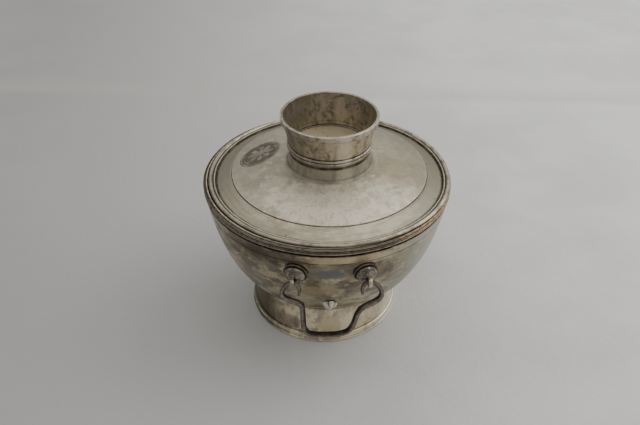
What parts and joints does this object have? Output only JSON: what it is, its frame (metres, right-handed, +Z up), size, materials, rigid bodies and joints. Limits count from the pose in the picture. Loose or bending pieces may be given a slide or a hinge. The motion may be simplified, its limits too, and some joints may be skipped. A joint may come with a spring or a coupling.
{
  "type": "covered footed bowl censer with drop handles",
  "caption": "Footed round metal bowl with a loose domed lid, an open ring collar as the lid's knob, and a swinging wire handle on each side.",
  "frame": {"origin": "middle of the object's box at the height of the foot's underside, on the bowl's axis", "axes": "+Z up along the bowl's axis, the two drop handles at -Y (front) and +Y (rear), +X to the right seen from the front"},
  "size_m": [0.16, 0.1704, 0.1468],
  "materials": {
    "satin_silver_lid": "satin old silver, mottled with warm grey tarnish",
    "tarnished_silver_bowl": "tarnished silver, clouded olive, brown and blue grey",
    "blackened_rim": "blackened silver, worn bright along the reeds",
    "golden_foot": "brushed silver with a golden tarnish, dark in the corners",
    "brown_silver_collar": "brown tarnished silver, streaked inside",
    "dark_fittings": "dark brown tarnished silver, worn bright on the high points",
    "dark_bail_wire": "dark grey brown wire, rubbed on its outer side",
    "bright_studs": "rubbed bright silver with dark hollows"
  },
  "bodies": {
    "bowl": {"bowl_shell": "tarnished_silver_bowl", "rim_moulding": "blackened_rim", "foot_ring": "golden_foot", "foot_base_moulding": "golden_foot", "front_left_washer": "dark_fittings", "front_right_washer": "dark_fittings", "rear_left_washer": "dark_fittings", "rear_right_washer": "dark_fittings", "front_left_boss": "dark_fittings", "front_right_boss": "dark_fittings", "rear_left_boss": "dark_fittings", "rear_right_boss": "dark_fittings", "front_left_split_eye": "dark_fittings", "front_right_split_eye": "dark_fittings", "rear_left_split_eye": "dark_fittings", "rear_right_split_eye": "dark_fittings", "front_flower_stud": "bright_studs", "rear_flower_stud": "bright_studs"},
    "lid": {"lid_plate": "satin_silver_lid", "lid_lip_bead": "satin_silver_lid", "lid_seat_ring": "tarnished_silver_bowl", "collar_wall": "brown_silver_collar", "collar_foot_bead": "brown_silver_collar", "collar_lip_band": "satin_silver_lid"},
    "front_handle": {"front_bail": "dark_bail_wire"},
    "rear_handle": {"rear_bail": "dark_bail_wire"}
  },
  "joints": [
    {"name": "lid_lift", "type": "slide", "parent": "bowl", "child": "lid", "axis": [0, 0, 1], "range_m": [0, 0.12]},
    {"name": "front_handle_swing", "type": "hinge", "parent": "bowl", "child": "front_handle", "pos_m": [0, -0.082, 0.08081], "axis": [-1, 0, 0], "range_deg": [-24, 180]},
    {"name": "rear_handle_swing", "type": "hinge", "parent": "bowl", "child": "rear_handle", "pos_m": [0, 0.082, 0.08081], "axis": [1, 0, 0], "range_deg": [-24, 180]}
  ]
}
